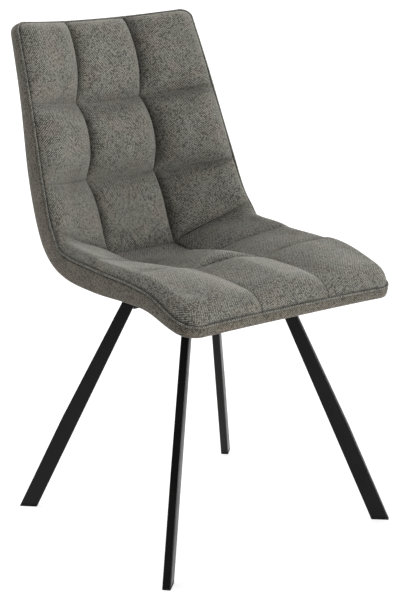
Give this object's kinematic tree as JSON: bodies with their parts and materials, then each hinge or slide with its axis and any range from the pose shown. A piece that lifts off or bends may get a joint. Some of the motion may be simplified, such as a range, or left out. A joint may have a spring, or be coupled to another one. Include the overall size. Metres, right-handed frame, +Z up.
{
  "type": "dining chair",
  "caption": "Upholstered dining chair: a quilted, padded plywood bucket on a welded steel frame with splayed flat-tube legs.",
  "frame": {"origin": "on the floor, at the middle of the footprint box of the whole chair", "axes": "+Z up, the chair faces -Y, so the sitter's left is +X"},
  "size_m": [0.523, 0.6278, 0.8997],
  "materials": {
    "front_tweed": "mottled mid-grey woven tweed",
    "band_tweed": "mottled warm grey woven tweed",
    "black_lining": "black non-woven lining",
    "foam": "open-cell upholstery foam",
    "wadding": "white polyester wadding",
    "plywood": "bare moulded plywood",
    "black_steel": "black satin powder coat",
    "black_plastic": "moulded matt black",
    "zinc_steel": "bright zinc plate"
  },
  "bodies": {
    "root": {"plywood_shell": "plywood", "seat_foam": "foam", "back_foam": "foam", "back_wadding": "wadding", "quilted_cover": "front_tweed", "side_band": "band_tweed", "welt": "front_tweed", "back_cover": "band_tweed", "under_cover": "black_lining", "leg_front_left": "black_steel", "leg_front_right": "black_steel", "leg_rear_left": "black_steel", "leg_rear_right": "black_steel", "foot_cap_front_left": "black_plastic", "foot_cap_front_right": "black_plastic", "foot_cap_rear_left": "black_plastic", "foot_cap_rear_right": "black_plastic", "cross_rail_front": "black_steel", "cross_rail_rear": "black_steel", "side_rail_left": "black_steel", "side_rail_right": "black_steel", "bolt_front_left": "zinc_steel", "bolt_front_right": "zinc_steel", "bolt_rear_left": "zinc_steel", "bolt_rear_right": "zinc_steel", "washer_front_left": "zinc_steel", "washer_front_right": "zinc_steel", "washer_rear_left": "zinc_steel", "washer_rear_right": "zinc_steel", "t_nut_front_left": "zinc_steel", "t_nut_front_right": "zinc_steel", "t_nut_rear_left": "zinc_steel", "t_nut_rear_right": "zinc_steel"}
  },
  "joints": []
}
